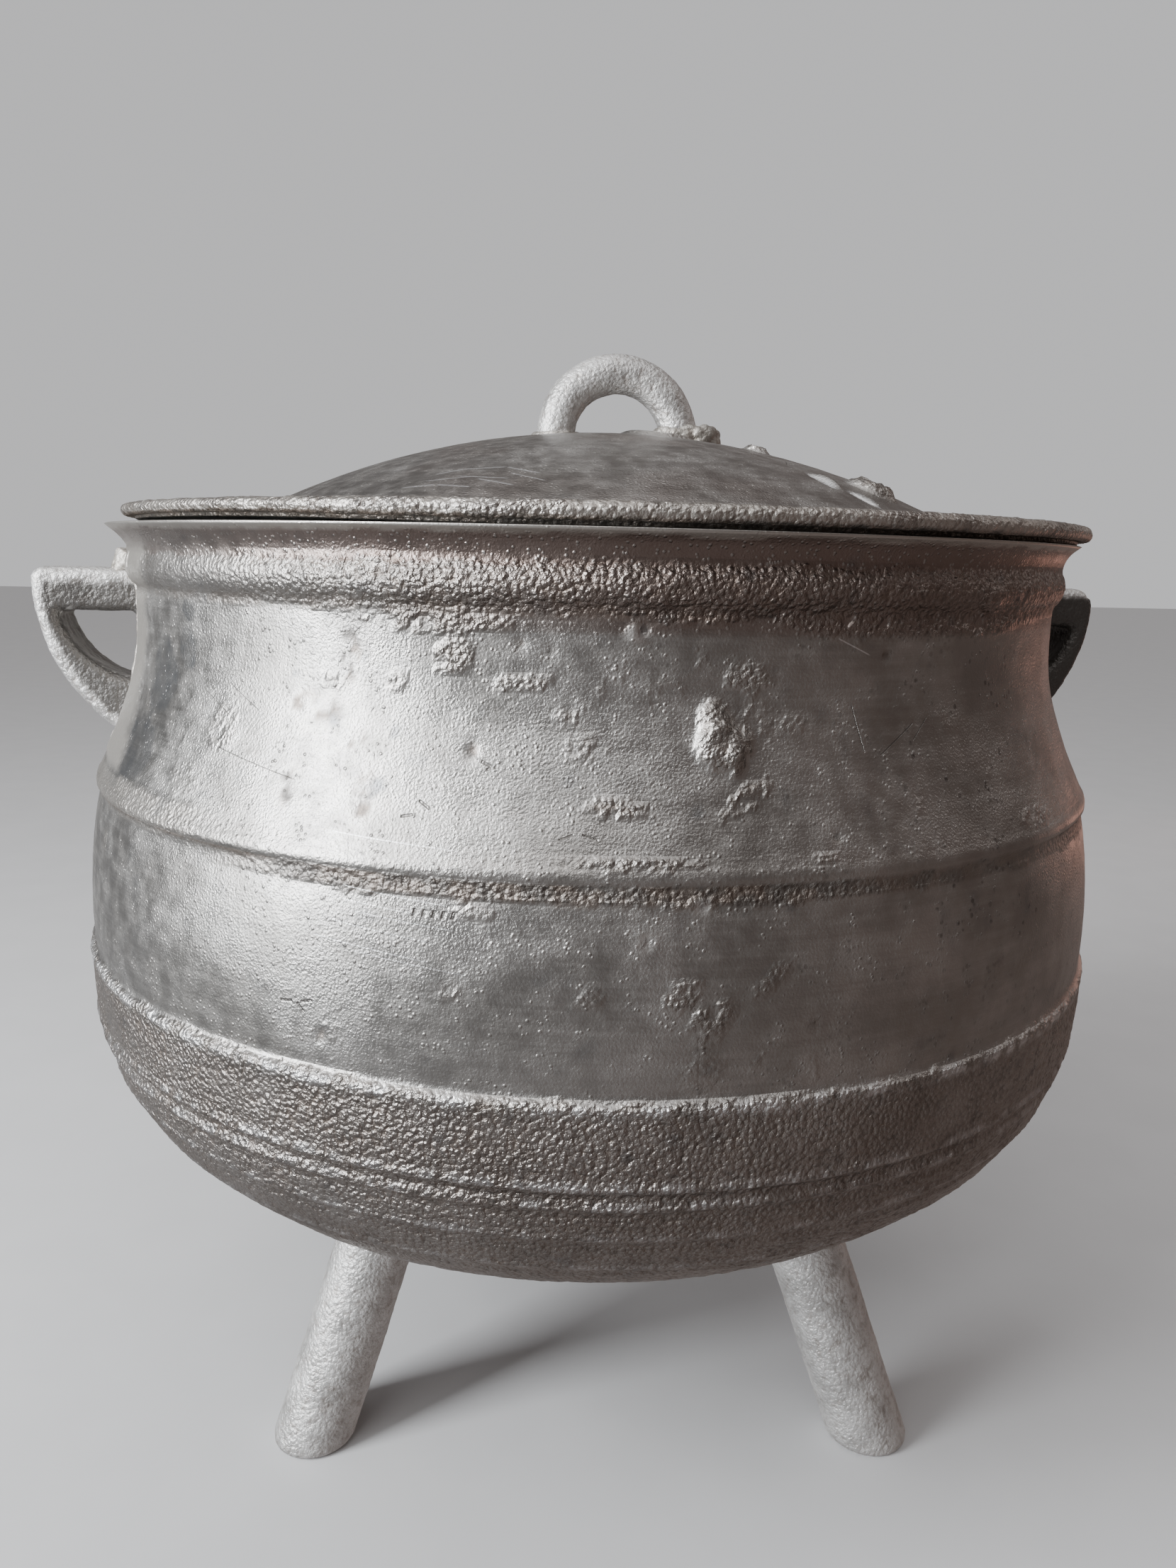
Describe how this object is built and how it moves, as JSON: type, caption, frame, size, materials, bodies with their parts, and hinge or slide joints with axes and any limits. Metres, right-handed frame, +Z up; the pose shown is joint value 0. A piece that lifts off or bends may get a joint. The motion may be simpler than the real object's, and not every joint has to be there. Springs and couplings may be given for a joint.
{
  "type": "three-legged cast pot",
  "caption": "Round-bellied cast-aluminium cooking pot on splayed legs, with ear handles and a lift-off domed lid.",
  "frame": {"origin": "on the floor under the middle of the pot, the bowl's axis", "axes": "+Z up along the bowl's axis, X from ear to ear, -Y is the front between two of the legs"},
  "size_m": [0.3504, 0.32, 0.352],
  "materials": {
    "bowl_cast": "sand cast, ground smooth in zones",
    "lid_cast": "sand cast, dull",
    "frosty_cast": "rough as cast, frosty",
    "joining_metal": "smeared rough deposit"
  },
  "bodies": {
    "pot": {"bowl": "bowl_cast", "ear_left": "frosty_cast", "ear_left_seam": "joining_metal", "ear_right": "frosty_cast", "ear_right_seam": "joining_metal", "leg_front_left": "frosty_cast", "leg_front_left_seam": "joining_metal", "leg_front_right": "frosty_cast", "leg_front_right_seam": "joining_metal", "leg_rear": "frosty_cast", "leg_rear_seam": "joining_metal"},
    "lid": {"lid": "lid_cast", "lid_handle": "frosty_cast", "lid_handle_weld_left": "joining_metal", "lid_handle_weld_right": "joining_metal"}
  },
  "joints": [
    {"name": "lid_lift", "type": "slide", "parent": "pot", "child": "lid", "axis": [0, 0, 1], "range_m": [0, 0.2]}
  ]
}
